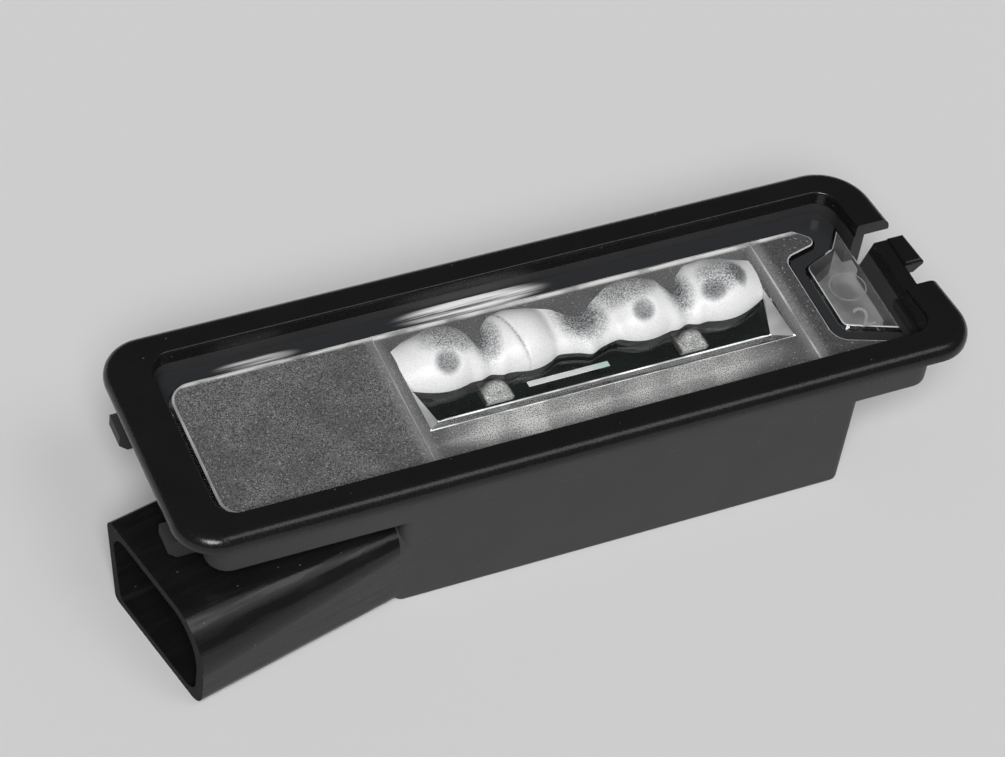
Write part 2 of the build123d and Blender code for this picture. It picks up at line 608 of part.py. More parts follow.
def make_regulator():
    """The regulator: a moulded body with three legs at the front and a cooling tab at the back."""
    body = extrude(Rectangle(REGULATOR_LENGTH, REGULATOR_WIDTH), REGULATOR_HEIGHT, taper=DIODE_TAPER)
    leg_middle_y = (REGULATOR_WIDTH + REGULATOR_LEG_REACH) / 2 - REGULATOR_LEG_THICKNESS
    for index in (-1, 0, 1):
        leg = Box(REGULATOR_LEG_WIDTH, REGULATOR_LEG_REACH, REGULATOR_LEG_THICKNESS)
        body += Pos(index * REGULATOR_LEG_PITCH, -leg_middle_y, REGULATOR_LEG_THICKNESS / 2) * leg
    tab = Box(REGULATOR_TAB_WIDTH, REGULATOR_LEG_REACH, REGULATOR_LEG_THICKNESS)
    return body + Pos(0, leg_middle_y, REGULATOR_LEG_THICKNESS / 2) * tab


def board_row(row, y):
    """Parts side by side along the board, as (name, part, length) from the left."""
    start = CAVITY_LEFT + ROW_START_INSET
    placed = {}
    for name, part, length in row:
        placed[name] = Pos(start + length / 2, y, BOARD_TOP) * part
        start += length + PART_GAP
    return placed


def front_row():
    diode_length = DIODE_LENGTH + 2 * DIODE_LEAD_LENGTH
    return [
        ("protection_diode", make_diode(), diode_length),
        ("surge_diode", make_diode(), diode_length),
        ("capacitor_1", make_chip(CAPACITOR_HEIGHT), CHIP_LENGTH),
        ("regulator", make_regulator(), REGULATOR_LENGTH),
        ("capacitor_2", make_chip(CAPACITOR_HEIGHT), CHIP_LENGTH),
    ]


def back_row():
    numbers = range(1, RESISTOR_COUNT + 1)
    return [(f"resistor_{number}", make_chip(CHIP_HEIGHT), CHIP_LENGTH) for number in numbers]


parts = {
    "housing": make_housing(),
    "lens": make_lens(),
    "circuit_board": make_board(),
    "contact_plus": make_contact(pin_places()[0]),
    "contact_minus": make_contact(pin_places()[1]),
    "led_left": make_led(pair_places()[0]),
    "led_right": make_led(pair_places()[1]),
}
parts.update(board_row(front_row(), FRONT_ROW_Y))
parts.update(board_row(back_row(), BACK_ROW_Y))

os.makedirs("parts", exist_ok=True)
for name, part in parts.items():
    export_step(part, f"parts/{name}.step")
    print(name, len(part.solids()), round(part.volume, 1))
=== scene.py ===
# %% [markdown]
# # A clip-in LED number plate lamp
# The CAD model gives the exact solids. This notebook dresses them: it loads the packed
# model as a fixed frame, matches the camera and the light, and then goes through the
# lamp piece by piece, giving each one its shape and its finish.

# %% Load the frame
from math import cos, radians, sin

import bmesh
import bpy
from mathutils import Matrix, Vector
from mathutils.geometry import intersect_point_tri_2d


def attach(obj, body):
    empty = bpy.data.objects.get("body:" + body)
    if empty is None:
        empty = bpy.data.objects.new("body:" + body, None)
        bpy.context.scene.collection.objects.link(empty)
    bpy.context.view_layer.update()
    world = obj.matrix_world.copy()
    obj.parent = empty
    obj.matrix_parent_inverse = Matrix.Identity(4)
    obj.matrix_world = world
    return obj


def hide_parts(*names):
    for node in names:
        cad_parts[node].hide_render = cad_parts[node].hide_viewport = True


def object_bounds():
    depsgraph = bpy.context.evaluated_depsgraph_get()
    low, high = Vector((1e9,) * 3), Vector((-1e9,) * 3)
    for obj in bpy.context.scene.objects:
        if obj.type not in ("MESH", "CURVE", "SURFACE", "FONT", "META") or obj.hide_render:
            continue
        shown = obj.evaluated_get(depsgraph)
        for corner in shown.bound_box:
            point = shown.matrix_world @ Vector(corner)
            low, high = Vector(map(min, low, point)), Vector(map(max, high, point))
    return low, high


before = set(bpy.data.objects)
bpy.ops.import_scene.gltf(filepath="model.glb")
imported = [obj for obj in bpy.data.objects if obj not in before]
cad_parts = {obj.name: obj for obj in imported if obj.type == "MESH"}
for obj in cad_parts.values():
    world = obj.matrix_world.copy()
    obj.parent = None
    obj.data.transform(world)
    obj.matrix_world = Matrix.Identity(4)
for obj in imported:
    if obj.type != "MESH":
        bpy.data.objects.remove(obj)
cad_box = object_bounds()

MM = 0.001
scene = bpy.context.scene
print("nodes:", len(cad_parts), "CAD box:", [[round(v / MM, 1) for v in corner] for corner in cad_box])

# %% [markdown]
# ## Camera
# The photograph was taken from the front left, well above the lamp, with a long lens.
# A long lens far away keeps the lamp's edges nearly parallel, so the camera gets
# the focal length that goes with the photograph's perspective.

# %% Camera
CAMERA_PLACE = Vector((-131.94, -218.63, 282.92)) * MM
CAMERA_TURN = (radians(41.202), radians(-6.01), radians(-23.44))
CAMERA_LENS = 122.615
SENSOR_WIDTH = 36.0
NEAREST_SEEN = 10.0 * MM

camera_data = bpy.data.cameras.new("camera")
camera_data.lens = CAMERA_LENS
camera_data.sensor_width = SENSOR_WIDTH
camera_data.sensor_fit = "HORIZONTAL"
camera_data.clip_start = NEAREST_SEEN
camera = bpy.data.objects.new("camera", camera_data)
camera.location = CAMERA_PLACE
camera.rotation_euler = CAMERA_TURN
scene.collection.objects.link(camera)
scene.camera = camera
print("camera at", [round(v / MM) for v in camera.location], "mm")

# %% [markdown]
# ## Helpers for finishes and pieces
# Every finish starts as a Principled shader. A small helper sets a node's sockets by name: another node's
# output is linked, a number or a colour is written straight into the socket. A new piece is built as
# a bmesh and becomes an object at the origin.

# %% Helpers for finishes and pieces
def set_inputs(node, values):
    for socket, value in values.items():
        if isinstance(value, bpy.types.NodeSocket):
            node.id_data.links.new(value, node.inputs[socket])
        else:
            node.inputs[socket].default_value = value


def new_finish(name):
    """A material, its node tree, and its shader ready to be set."""
    finish = bpy.data.materials.new(name)
    finish.use_nodes = True
    return finish, finish.node_tree, finish.node_tree.nodes["Principled BSDF"]


def add_piece(shape, name):
    piece = bpy.data.objects.new(name, bpy.data.meshes.new(name))
    shape.to_mesh(piece.data)
    shape.free()
    scene.collection.objects.link(piece)
    return piece


# %% [markdown]
# ## Floor
# The lamp lies on its box, lens up, on a plain pale surface. The floor has no gloss, so
# that it stays one even tone.

# %% Floor
FLOOR_SIDE = 6.0
FLOOR_COLOUR = (0.78, 0.78, 0.78, 1)

floor_level = cad_box[0][2]
floor_mesh = bmesh.new()
bmesh.ops.create_grid(floor_mesh, x_segments=1, y_segments=1, size=FLOOR_SIDE / 2)
bmesh.ops.translate(floor_mesh, verts=floor_mesh.verts, vec=(0, 0, floor_level))
floor = add_piece(floor_mesh, "floor")
floor_paint, tree, shader = new_finish("pale floor")
set_inputs(shader, {"Base Color": FLOOR_COLOUR, "Roughness": 0.9, "Specular IOR Level": 0.0})
floor.data.materials.append(floor_paint)
print("floor at", round(floor_level / MM, 2), "mm")

# %% [markdown]
# ## Light
# Black plastic shows mostly what it mirrors: its upright faces mirror the pale floor and turn grey, and its
# top mirrors the room above. So the room is kept dark, and the light comes from one large soft lamp.
# A second, weak one from the right does little for the floor, but it draws a soft highlight along the
# round shoulders.

# %% Light
ROOM_GLOW = 0.08
ROOM_COLOUR = (1, 1, 1, 1)
SUN_STRENGTH = 2.45
SUN_TURN = (radians(38), radians(-14), radians(-10))
SUN_SOFTNESS = radians(27)
FILL_FROM = Vector((0.35, -0.36, 0.86))
FILL_STRENGTH = 0.4
FILL_SOFTNESS = radians(28)


def add_sun(name, strength, softness, turn):
    light = bpy.data.lights.new(name, "SUN")
    light.energy = strength
    light.angle = softness
    lamp = bpy.data.objects.new(name, light)
    lamp.rotation_euler = turn
    scene.collection.objects.link(lamp)


room = bpy.data.worlds.new("room")
room.use_nodes = True
set_inputs(room.node_tree.nodes["Background"], {"Color": ROOM_COLOUR, "Strength": ROOM_GLOW})
scene.world = room
add_sun("soft lamp", SUN_STRENGTH, SUN_SOFTNESS, SUN_TURN)
add_sun("fill lamp", FILL_STRENGTH, FILL_SOFTNESS, (-FILL_FROM).to_track_quat("-Z", "Y").to_euler())
scene.view_settings.view_transform = "Standard"
print("room glow", ROOM_GLOW, "and two lamps")

# %% [markdown]
# ## Helpers for nodes
# The patterns of a finish come from nodes that read Object coordinates, so a pattern stays on the piece from
# every side. Each helper adds one node or two, which keeps the code of the next cells short.

# %% Helpers for nodes
def add_node(tree, kind, inputs=None, **settings):
    node = tree.nodes.new(kind)
    for key, value in settings.items():
        setattr(node, key, value)
    set_inputs(node, inputs or {})
    return node


def object_point(tree):
    return add_node(tree, "ShaderNodeTexCoord").outputs["Object"]


def object_place(tree):
    """X, Y and Z of the point as three outputs."""
    return add_node(tree, "ShaderNodeSeparateXYZ", {"Vector": object_point(tree)}).outputs


def calc(tree, operation, first, second=0.0):
    return add_node(tree, "ShaderNodeMath", {0: first, 1: second}, operation=operation).outputs[0]


# %% [markdown]
# ## Grain, a shared effect
# Moulded plastic is never a perfect mirror: the mould's own texture leaves a fine grain. The clear
# lens has the same thing on its frosted areas, only coarser. One node group gives both: a fine height for
# a Bump node, a slow cloud, and a mask of scattered bright grains.

# %% Grain, a shared effect
FINE_DETAIL = 3.0
COARSE_DETAIL = 2.0
GRAIN_INPUTS = ("Fine Scale", "Coarse Scale", "Speck Scale", "Speck Size")
GRAIN_OUTPUTS = ("Height", "Cloud", "Specks")

grain_group = bpy.data.node_groups.new("grain", "ShaderNodeTree")
for socket_name in GRAIN_INPUTS:
    grain_group.interface.new_socket(socket_name, in_out="INPUT", socket_type="NodeSocketFloat")
for socket_name in GRAIN_OUTPUTS:
    grain_group.interface.new_socket(socket_name, in_out="OUTPUT", socket_type="NodeSocketFloat")
given = add_node(grain_group, "NodeGroupInput").outputs
point = object_point(grain_group)
fine = add_node(grain_group, "ShaderNodeTexNoise",
                {"Vector": point, "Scale": given["Fine Scale"], "Detail": FINE_DETAIL})
coarse = add_node(grain_group, "ShaderNodeTexNoise",
                  {"Vector": point, "Scale": given["Coarse Scale"], "Detail": COARSE_DETAIL})
specks = add_node(grain_group, "ShaderNodeTexVoronoi",
                  {"Vector": point, "Scale": given["Speck Scale"]}, feature="F1")
speck_mask = calc(grain_group, "LESS_THAN", specks.outputs["Distance"], given["Speck Size"])
add_node(grain_group, "NodeGroupOutput",
         {"Height": fine.outputs["Fac"], "Cloud": coarse.outputs["Fac"], "Specks": speck_mask})


def add_grain(tree, fine, coarse, specks, speck_size):
    values = dict(zip(GRAIN_INPUTS, (fine, coarse, specks, speck_size)))
    return add_node(tree, "ShaderNodeGroup", values, node_tree=grain_group).outputs


def add_bump(tree, shader, height, strength, depth):
    node = add_node(tree, "ShaderNodeBump", {"Strength": strength, "Distance": depth * MM, "Height": height})
    set_inputs(shader, {"Normal": node.outputs["Normal"]})


print("shared effect:", grain_group.name)

# %% [markdown]
# ## Housing, its zones
# The housing is one black moulding, but the mould is not finished the same everywhere: the flange
# and the plug shroud are polished, the skirt and the box are spark-eroded, so they are dull, and so is
# the cut rim of the plug's mouth. Its shape is right in the CAD, so it only gets a material. Each zone
# is a mask worked out from the point's place.

# %% Housing, its zones
SHROUD_ROOT_X = -21.8 * MM
SHROUD_TOP_Z = -7.6 * MM
FLANGE_FOOT_Z = -0.05 * MM
SHROUD_TURN = radians(12.5)
SHROUD_AXIS = Vector((-cos(SHROUD_TURN), -sin(SHROUD_TURN), 0))
MOUTH_DEPTH = 0.05 * MM

black_plastic, tree, shader = new_finish("black moulded plastic")
place = object_place(tree)
left_of_box = calc(tree, "LESS_THAN", place["X"], SHROUD_ROOT_X)
low_down = calc(tree, "LESS_THAN", place["Z"], SHROUD_TOP_Z)
on_shroud = calc(tree, "MULTIPLY", left_of_box, low_down)
on_flange = calc(tree, "GREATER_THAN", place["Z"], FLANGE_FOOT_Z)
polished = calc(tree, "MAXIMUM", on_shroud, on_flange)

housing_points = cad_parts["housing"].data.vertices
mouth = max(v.co.dot(SHROUD_AXIS) for v in housing_points if v.co.z < SHROUD_TOP_Z)
along_shroud = add_node(tree, "ShaderNodeVectorMath", {0: object_point(tree), 1: SHROUD_AXIS},
                        operation="DOT_PRODUCT")
by_mouth = calc(tree, "GREATER_THAN", along_shroud.outputs["Value"], mouth - MOUTH_DEPTH)
on_mouth = calc(tree, "MULTIPLY", by_mouth, on_shroud)
print("mouth of the shroud at", round(mouth / MM, 1), "mm along its axis")

# %% [markdown]
# ## Helpers for mixing
# A mask or a noise turns into a finish in two steps: a ramp brings it to the range that is wanted, and a
# Mix node blends two numbers or two colours by it. Noise gathers round one half, so two spans are named:
# a ramp over the wide one is gentle, and a ramp over the narrow one has full contrast. The Mix node has
# several sockets of one name, one for each kind of data, so they are picked by their place in the list.

# %% Helpers for mixing
WIDE = (0.3, 0.7)
NARROW = (0.36, 0.64)
MIX_NUMBERS = (2, 3)
MIX_COLOURS = (6, 7)
MIXED_NUMBER = 0
MIXED_COLOUR = 2


def ramp(tree, value, span, result):
    """Value brought smoothly from the span to the range of the result."""
    ends = {"From Min": span[0], "From Max": span[1], "To Min": result[0], "To Max": result[1]}
    node = add_node(tree, "ShaderNodeMapRange", {"Value": value, **ends}, interpolation_type="SMOOTHSTEP")
    return node.outputs["Result"]


def mix_value(tree, share, *numbers):
    inputs = {"Factor": share, **dict(zip(MIX_NUMBERS, numbers))}
    return add_node(tree, "ShaderNodeMix", inputs).outputs[MIXED_NUMBER]


def mix_colour(tree, share, *colours):
    inputs = {"Factor": share, **dict(zip(MIX_COLOURS, colours))}
    return add_node(tree, "ShaderNodeMix", inputs, data_type="RGBA").outputs[MIXED_COLOUR]


# %% [markdown]
# ## Housing, its finish
# The shroud was polished along its length, so its gloss changes in long thin marks: a noise
# that is stretched along the shroud. A few pale grains of dust lie on the black. The housing keeps its
# CAD mesh, and only its plain material is replaced.

# %% Housing, its finish
POLISH_SCALE = (1 / 150, 1 / 1300, 1 / 1300)
POLISH_DETAIL = 4.0
DULL_ROUGHNESS = (0.52, 0.62)
FLANGE_ROUGHNESS = (0.16, 0.3)
SHROUD_ROUGHNESS = (0.14, 0.36)
MOUTH_ROUGHNESS = 0.9
DEEP_BLACK = ((0.006, 0.006, 0.0065, 1), (0.011, 0.011, 0.0115, 1))
DULL_BLACK = ((0.036, 0.0345, 0.036, 1), (0.048, 0.0455, 0.048, 1))
DUST = (0.08, 0.08, 0.08, 1)
BLACK_SPECULAR = 0.4


def dress(node, finish):
    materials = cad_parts[node].data.materials
    materials.clear()
    materials.append(finish)


polish_turn = add_node(tree, "ShaderNodeMapping", vector_type="TEXTURE",
                       inputs={"Vector": object_point(tree), "Rotation": (0, 0, SHROUD_TURN),
                               "Scale": POLISH_SCALE})
polish_marks = add_node(tree, "ShaderNodeTexNoise",
                        {"Vector": polish_turn.outputs["Vector"], "Scale": 1.0, "Detail": POLISH_DETAIL})
grain = add_grain(tree, fine=5200.0, coarse=160.0, specks=420.0, speck_size=0.045)
roughness = ramp(tree, grain["Cloud"], WIDE, DULL_ROUGHNESS)
for zone, zone_roughness in ((on_flange, ramp(tree, grain["Height"], NARROW, FLANGE_ROUGHNESS)),
                             (on_shroud, ramp(tree, polish_marks.outputs["Fac"], NARROW, SHROUD_ROUGHNESS)),
                             (on_mouth, MOUTH_ROUGHNESS)):
    roughness = mix_value(tree, zone, roughness, zone_roughness)
dull_black = mix_colour(tree, grain["Cloud"], *DULL_BLACK)
deep_black = mix_colour(tree, grain["Cloud"], *DEEP_BLACK)
black = mix_colour(tree, polished, dull_black, deep_black)
set_inputs(shader, {"Base Color": mix_colour(tree, grain["Specks"], black, DUST), "Roughness": roughness,
                    "Specular IOR Level": BLACK_SPECULAR})
add_bump(tree, shader, grain["Height"], strength=0.2, depth=0.03)
dress("housing", black_plastic)
print("housing:", black_plastic.name)

# %% [markdown]
# ## Lens, its level patches
# The lens is one clear moulding, and the mould gives each face its own finish: polished where the
# board shows through, frosted on the raised plateau, white with frost on the ridge of lobes. The work
# starts from a copy of the CAD mesh. Its loose triangles are merged, and then each level patch is
# found by spreading out from one point over faces that share an edge.

# %% Lens, its level patches
PLATEAU_Z = -0.8 * MM
FIELD_Z = -1.0 * MM
RIM_Z = -1.4 * MM
TROUGH_FLOOR_Z = -2.7 * MM
MERGE_WITHIN = 0.001 * MM
SAME_LEVEL = 0.01 * MM
LEVEL_NORMAL = 0.999
LEFT_END, FIELD_FRONT, RIGHT_END = (-30, 0), (0, -8), (32, 0)
PAD_MIDDLE = (38, 0)
RIM_BACK = (0, 10.4)

lens_mesh = bmesh.new()
lens_mesh.from_mesh(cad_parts["lens"].data)
bmesh.ops.remove_doubles(lens_mesh, verts=lens_mesh.verts, dist=MERGE_WITHIN)


def on_level(face, level):
    return face.normal.z > LEVEL_NORMAL and abs(face.calc_center_median().z - level) < SAME_LEVEL


def level_patch(place, level):
    """The level faces joined to the one at the place, which is in millimetres."""
    point = Vector(place) * MM
    start = next(face for face in lens_mesh.faces if on_level(face, level)
                 and intersect_point_tri_2d(point, *[v.co.xy for v in face.verts]))
    patch, waiting = {start}, [start]
    while waiting:
        for edge in waiting.pop().edges:
            for beside in edge.link_faces:
                if beside not in patch and beside.normal.z > LEVEL_NORMAL:
                    patch.add(beside)
                    waiting.append(beside)
    return patch


frosted_patches = level_patch(LEFT_END, PLATEAU_Z) | level_patch(FIELD_FRONT, FIELD_Z)
frosted_patches |= level_patch(RIGHT_END, PLATEAU_Z)
pad_patch = level_patch(PAD_MIDDLE, PLATEAU_Z)
rim_patch = level_patch(RIM_BACK, RIM_Z)
print("frosted faces:", len(frosted_patches), "pad faces:", len(pad_patch), "rim faces:", len(rim_patch))

# %% [markdown]
# ## Lens, which face has which finish
# The material index of a face is its finish. The level patches are known by now. The ridge is found by its
# place, and the bevels and small steps by the way they face.

# %% Lens, which face has which finish
CLEAR, FROSTED, RIDGE, PAD, EDGE, RIM, LINE = range(7)
FIELD_X = (-16.9 * MM, 30.7 * MM)
OPTIC_X = (-15.47 * MM, 29.27 * MM)
RIDGE_Y = (0.15 * MM, 8.45 * MM)
BEVEL_NORMAL = (0.6, 0.8)
STEP_NORMAL = 0.99

for face in lens_mesh.faces:
    middle = face.calc_center_median()
    lowest = min(v.co.z for v in face.verts)
    sideways = abs(face.normal.x)
    over_ridge = OPTIC_X[0] < middle.x < OPTIC_X[1] and RIDGE_Y[0] < middle.y < RIDGE_Y[1]
    above_floor = middle.z > TROUGH_FLOOR_Z + SAME_LEVEL
    bevelled = BEVEL_NORMAL[0] < face.normal.z < BEVEL_NORMAL[1] and middle.z > RIM_Z and not over_ridge
    field_step = sideways > STEP_NORMAL and lowest > FIELD_Z - SAME_LEVEL
    if face in frosted_patches:
        face.material_index = FROSTED
    elif face in pad_patch:
        face.material_index = PAD
    elif face in rim_patch:
        face.material_index = RIM
    elif over_ridge and above_floor and sideways < LEVEL_NORMAL:
        face.material_index = RIDGE
    elif bevelled or field_step:
        face.material_index = EDGE
    else:
        face.material_index = CLEAR


def with_finish(finish):
    return [face for face in lens_mesh.faces if face.material_index == finish]


print("ridge faces:", len(with_finish(RIDGE)))

# %% [markdown]
# ## Lens, bright bevels
# Where two faces of a clear part meet, the mould leaves a small radius that catches the light as a bright
# line. A cut splits each bevel of the plateau into a lit upper part and a clear lower one. The
# ends of the trough lean inward and catch light too, so its front corners are moved.

# %% Lens, bright bevels
SLOPE_FOOT_Y = -3.5 * MM
LIT_BEVEL_Z = -0.9 * MM
CUT_WITHIN = 0.0001 * MM
FACING_UP = 0.1
TROUGH_X = (-15.5 * MM, 29.3 * MM)
END_LEAN = (1.9 * MM, -1.7 * MM)
END_NORMAL = 0.9
AT_CORNER = 0.05 * MM


def bevel_faces():
    return [face for face in with_finish(EDGE) if face.normal.z > FACING_UP]


bevel_parts = dict.fromkeys(part for face in bevel_faces() for part in (face, *face.edges, *face.verts))
bmesh.ops.bisect_plane(lens_mesh, geom=list(bevel_parts), dist=CUT_WITHIN,
                       plane_co=(0, 0, LIT_BEVEL_Z), plane_no=(0, 0, 1))
for face in bevel_faces():
    if min(v.co.z for v in face.verts) < LIT_BEVEL_Z - MERGE_WITHIN:
        face.material_index = CLEAR

for end, lean in zip(TROUGH_X, END_LEAN):
    corner = Vector((end, SLOPE_FOOT_Y, TROUGH_FLOOR_Z))
    for vert in [v for v in lens_mesh.verts if (v.co - corner).length < AT_CORNER]:
        for face in vert.link_faces:
            if abs(face.normal.x) > END_NORMAL:
                face.material_index = EDGE
        vert.co.x += lean
lens_mesh.normal_update()
print("lit bevels and ends:", len(with_finish(EDGE)))

# %% [markdown]
# ## Lens, bright borders and lines
# An inset draws a thin border round the frosted patches. It is lit along the plateau's outline and stays
# frosted round the optic. A narrow bevel makes a bright line along the top and one along
# the foot of the trough's front slope.

# %% Lens, bright borders and lines
SLOPE_TOP_Y = -5.6 * MM
BORDER_WIDTH = 0.18 * MM
PAD_BORDER_WIDTH = 0.05 * MM
BY_FIELD = 0.3 * MM
ABOVE_FIELD = 0.05 * MM
LINE_WIDTH = 0.17 * MM
ON_LINE = 0.02 * MM


def runs_along(edge, y, z):
    return all(abs(v.co.y - y) < ON_LINE and abs(v.co.z - z) < ON_LINE for v in edge.verts)


border = []
for round_pad, width in ((False, BORDER_WIDTH), (True, PAD_BORDER_WIDTH)):
    patch = [face for face in with_finish(FROSTED)
             if (face.calc_center_median().x > FIELD_X[1]) == round_pad]
    border += bmesh.ops.inset_region(lens_mesh, faces=patch, thickness=width, use_even_offset=True,
                                     use_boundary=True)["faces"]
for face in border:
    middle = face.calc_center_median()
    by_field = any(abs(middle.x - side) < BY_FIELD for side in FIELD_X) and middle.z > FIELD_Z + ABOVE_FIELD
    by_optic = OPTIC_X[0] - MM < middle.x < OPTIC_X[1] + MM and SLOPE_TOP_Y - MM < middle.y < RIDGE_Y[1]
    face.material_index = FROSTED if by_field or by_optic else EDGE

lines = [edge for edge in lens_mesh.edges
         if runs_along(edge, SLOPE_TOP_Y, FIELD_Z) or runs_along(edge, SLOPE_FOOT_Y, TROUGH_FLOOR_Z)]
bevelled = bmesh.ops.bevel(lens_mesh, geom=lines, offset=LINE_WIDTH, offset_type="OFFSET", segments=1,
                           profile=0.5, affect="EDGES", material=-1, clamp_overlap=True)
for face in bevelled["faces"]:
    face.material_index = LINE
print("lines in the trough:", len(lines), "border faces:", len(border))

# %% [markdown]
# ## Lens, fuller lobes
# The lobes of each pair flow into each other: the necks between them are wide in front, and the flanks are
# full at the back. So the ridge is drawn forward at the necks, and its back half is stretched until
# its foot follows a line of chosen points, in millimetres.

# %% Lens, fuller lobes
NECKS = (-5.3, 19.1)
NECK_REACH = 2.6
NECK_WIDENING = 1.0
FRONT_HALF_Y = (1.0, 3.4)
BACK_HALF_Y = 2.2
LEAST_DEPTH = 0.1
BACK_LINE = ((-15.5, 6.3), (-13.9, 7.2), (-10.3, 8.3), (-8.0, 8.0), (-6.8, 7.1), (-6.0, 4.8), (-5.2, 4.8),
             (-4.4, 6.7), (-3.1, 7.8), (-1.3, 8.2), (1.6, 7.7), (4.2, 6.6), (5.8, 5.0), (7.2, 4.6),
             (9.2, 6.3), (11.6, 7.8), (13.4, 8.3), (15.6, 8.1), (17.3, 7.2), (18.4, 4.8), (19.2, 4.8),
             (20.0, 6.7), (21.6, 8.1), (24.0, 8.3), (26.0, 7.8), (29.4, 6.4))


def line_at(x, points):
    """The y at x of a line through the points."""
    for (x0, y0), (x1, y1) in zip(points, points[1:]):
        if x <= x1:
            return y0 + (y1 - y0) * max(0.0, x - x0) / (x1 - x0)
    return points[-1][1]


def ridge_points():
    return list(dict.fromkeys(vert for face in with_finish(RIDGE) for vert in face.verts))


field_patch = {face for face in with_finish(FROSTED) if on_level(face, FIELD_Z)}
floor_patch = {face for face in with_finish(CLEAR) if on_level(face, TROUGH_FLOOR_Z)}
foot_y = {}
for vert in ridge_points():
    if any(face in field_patch for face in vert.link_faces):
        x = round(vert.co.x / MM, 2)
        foot_y[x] = max(foot_y.get(x, BACK_HALF_Y + LEAST_DEPTH), vert.co.y / MM)
foot_line = sorted(foot_y.items())
for vert in ridge_points():
    x, y = vert.co.x / MM, vert.co.y / MM
    near = sum(max(0.0, 1.0 - ((x - neck) / NECK_REACH) ** 2) ** 2 for neck in NECKS)
    front_share = (FRONT_HALF_Y[1] - y) / (FRONT_HALF_Y[1] - FRONT_HALF_Y[0])
    stretch = (line_at(x, BACK_LINE) - BACK_HALF_Y) / (line_at(x, foot_line) - BACK_HALF_Y)
    y += (stretch - 1.0) * max(0.0, y - BACK_HALF_Y)
    y -= NECK_WIDENING * near * min(1.0, max(0.0, front_share))
    vert.co.y = y * MM
print("points of the ridge:", len(ridge_points()), "on its back foot:", len(foot_line))

# %% [markdown]
# ## Lens, level faces round the ridge
# The outlines of the level faces beside the ridge have moved with it. So those faces are taken
# out, and each gap is filled again inside its outline.

# %% Lens, level faces round the ridge
def fill_again(patch):
    faces = [face for face in lens_mesh.faces if face in patch]
    outline = [edge for edge in lens_mesh.edges if sum(face in patch for face in edge.link_faces) == 1]
    finish = faces[0].material_index
    bmesh.ops.delete(lens_mesh, geom=faces, context="FACES_KEEP_BOUNDARY")
    made = bmesh.ops.triangle_fill(lens_mesh, edges=outline, use_beauty=True, normal=(0, 0, 1))["geom"]
    made = [part for part in made if isinstance(part, bmesh.types.BMFace)]
    for face in made:
        face.material_index = finish
        face.normal_update()
        if face.normal.z < 0:
            face.normal_flip()
    return len(made)


print("faces of the field, filled again:", fill_again(field_patch))
print("faces of the trough's floor, filled again:", fill_again(floor_patch))
lens_mesh.normal_update()

# %% [markdown]
# ## Lens, dimples of the ridge
# Three of the four lobes have a dimple in front of their crest, which spreads the light from below, and
# the second lobe has a long crease. The faces there are divided until they are fine enough, and then
# pressed in, deepest at the middle. Each dimple has a centre, two radii, a lean and a depth: the lean is a
# slope, and the rest is in millimetres.

# %% Lens, dimples of the ridge
DIMPLES = (((-10.3, 2.3), (2.0, 1.8), 0.0, 0.55), ((13.9, 2.5), (1.8, 1.7), 0.0, 0.5),
           ((23.6, 3.0), (2.6, 2.0), 0.0, 0.5), ((-1.6, 3.6), (0.6, 4.4), -0.22, 0.22))
FINE_ENOUGH = 0.25 * MM
DIVISIONS = 3
MOST_CORNERS = 4


def dimple_share(point, centre, radii, lean):
    """0 outside the dimple, rising to 1 at its middle."""
    across, deep = point.x / MM - centre[0], point.y / MM - centre[1]
    away = ((across - lean * deep) / radii[0]) ** 2 + (deep / radii[1]) ** 2
    return max(0.0, 1.0 - away) ** 2


def in_a_dimple(point):
    return any(dimple_share(point, centre, radii, lean) > 0 for centre, radii, lean, depth in DIMPLES)


for _ in range(DIVISIONS):
    dimpled = [face for face in with_finish(RIDGE) if any(in_a_dimple(v.co) for v in face.verts)]
    coarse_edges = dict.fromkeys(edge for face in dimpled for edge in face.edges
                                 if edge.calc_length() > FINE_ENOUGH)
    bmesh.ops.subdivide_edges(lens_mesh, edges=list(coarse_edges), cuts=1, use_grid_fill=True)
    bmesh.ops.triangulate(lens_mesh, faces=[f for f in lens_mesh.faces if len(f.verts) > MOST_CORNERS])
for vert in ridge_points():
    for centre, radii, lean, depth in DIMPLES:
        vert.co.z -= depth * MM * dimple_share(vert.co, centre, radii, lean)
bmesh.ops.dissolve_degenerate(lens_mesh, dist=MERGE_WITHIN, edges=lens_mesh.edges)
lens_mesh.normal_update()
print("points of the ridge:", len(ridge_points()))

# %% [markdown]
# ## Lens, the finished piece
# Faces that meet at a small angle are shaded as one round surface. The finished mesh takes the
# place of the CAD lens.

# %% Lens, the finished piece
SHARP_ANGLE = radians(28)

for face in lens_mesh.faces:
    face.smooth = True
for edge in lens_mesh.edges:
    edge.smooth = len(edge.link_faces) == 2 and edge.calc_face_angle() < SHARP_ANGLE
lens = add_piece(lens_mesh, "lens_clear_moulding")
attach(lens, "root")
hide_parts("lens")
print("lens faces:", len(lens.data.polygons))

# %% [markdown]
# ## Lens, clear and hazy plastic
# Clear plastic is a full transmission with the index of polycarbonate. The pad is the same
# plastic with a slight haze, so it looks pale over the dark board.

# %% Lens, clear and hazy plastic
PLASTIC_IOR = 1.58
CLEAR_COLOUR = (0.97, 0.98, 0.98, 1)
CLEAR_ROUGHNESS = (0.02, 0.06)
HAZE_GREYS = ((0.45, 0.45, 0.46, 1), (0.95, 0.95, 0.95, 1))
HAZE_ROUGHNESS = (0.04, 0.12)
FULL = (0.0, 1.0)

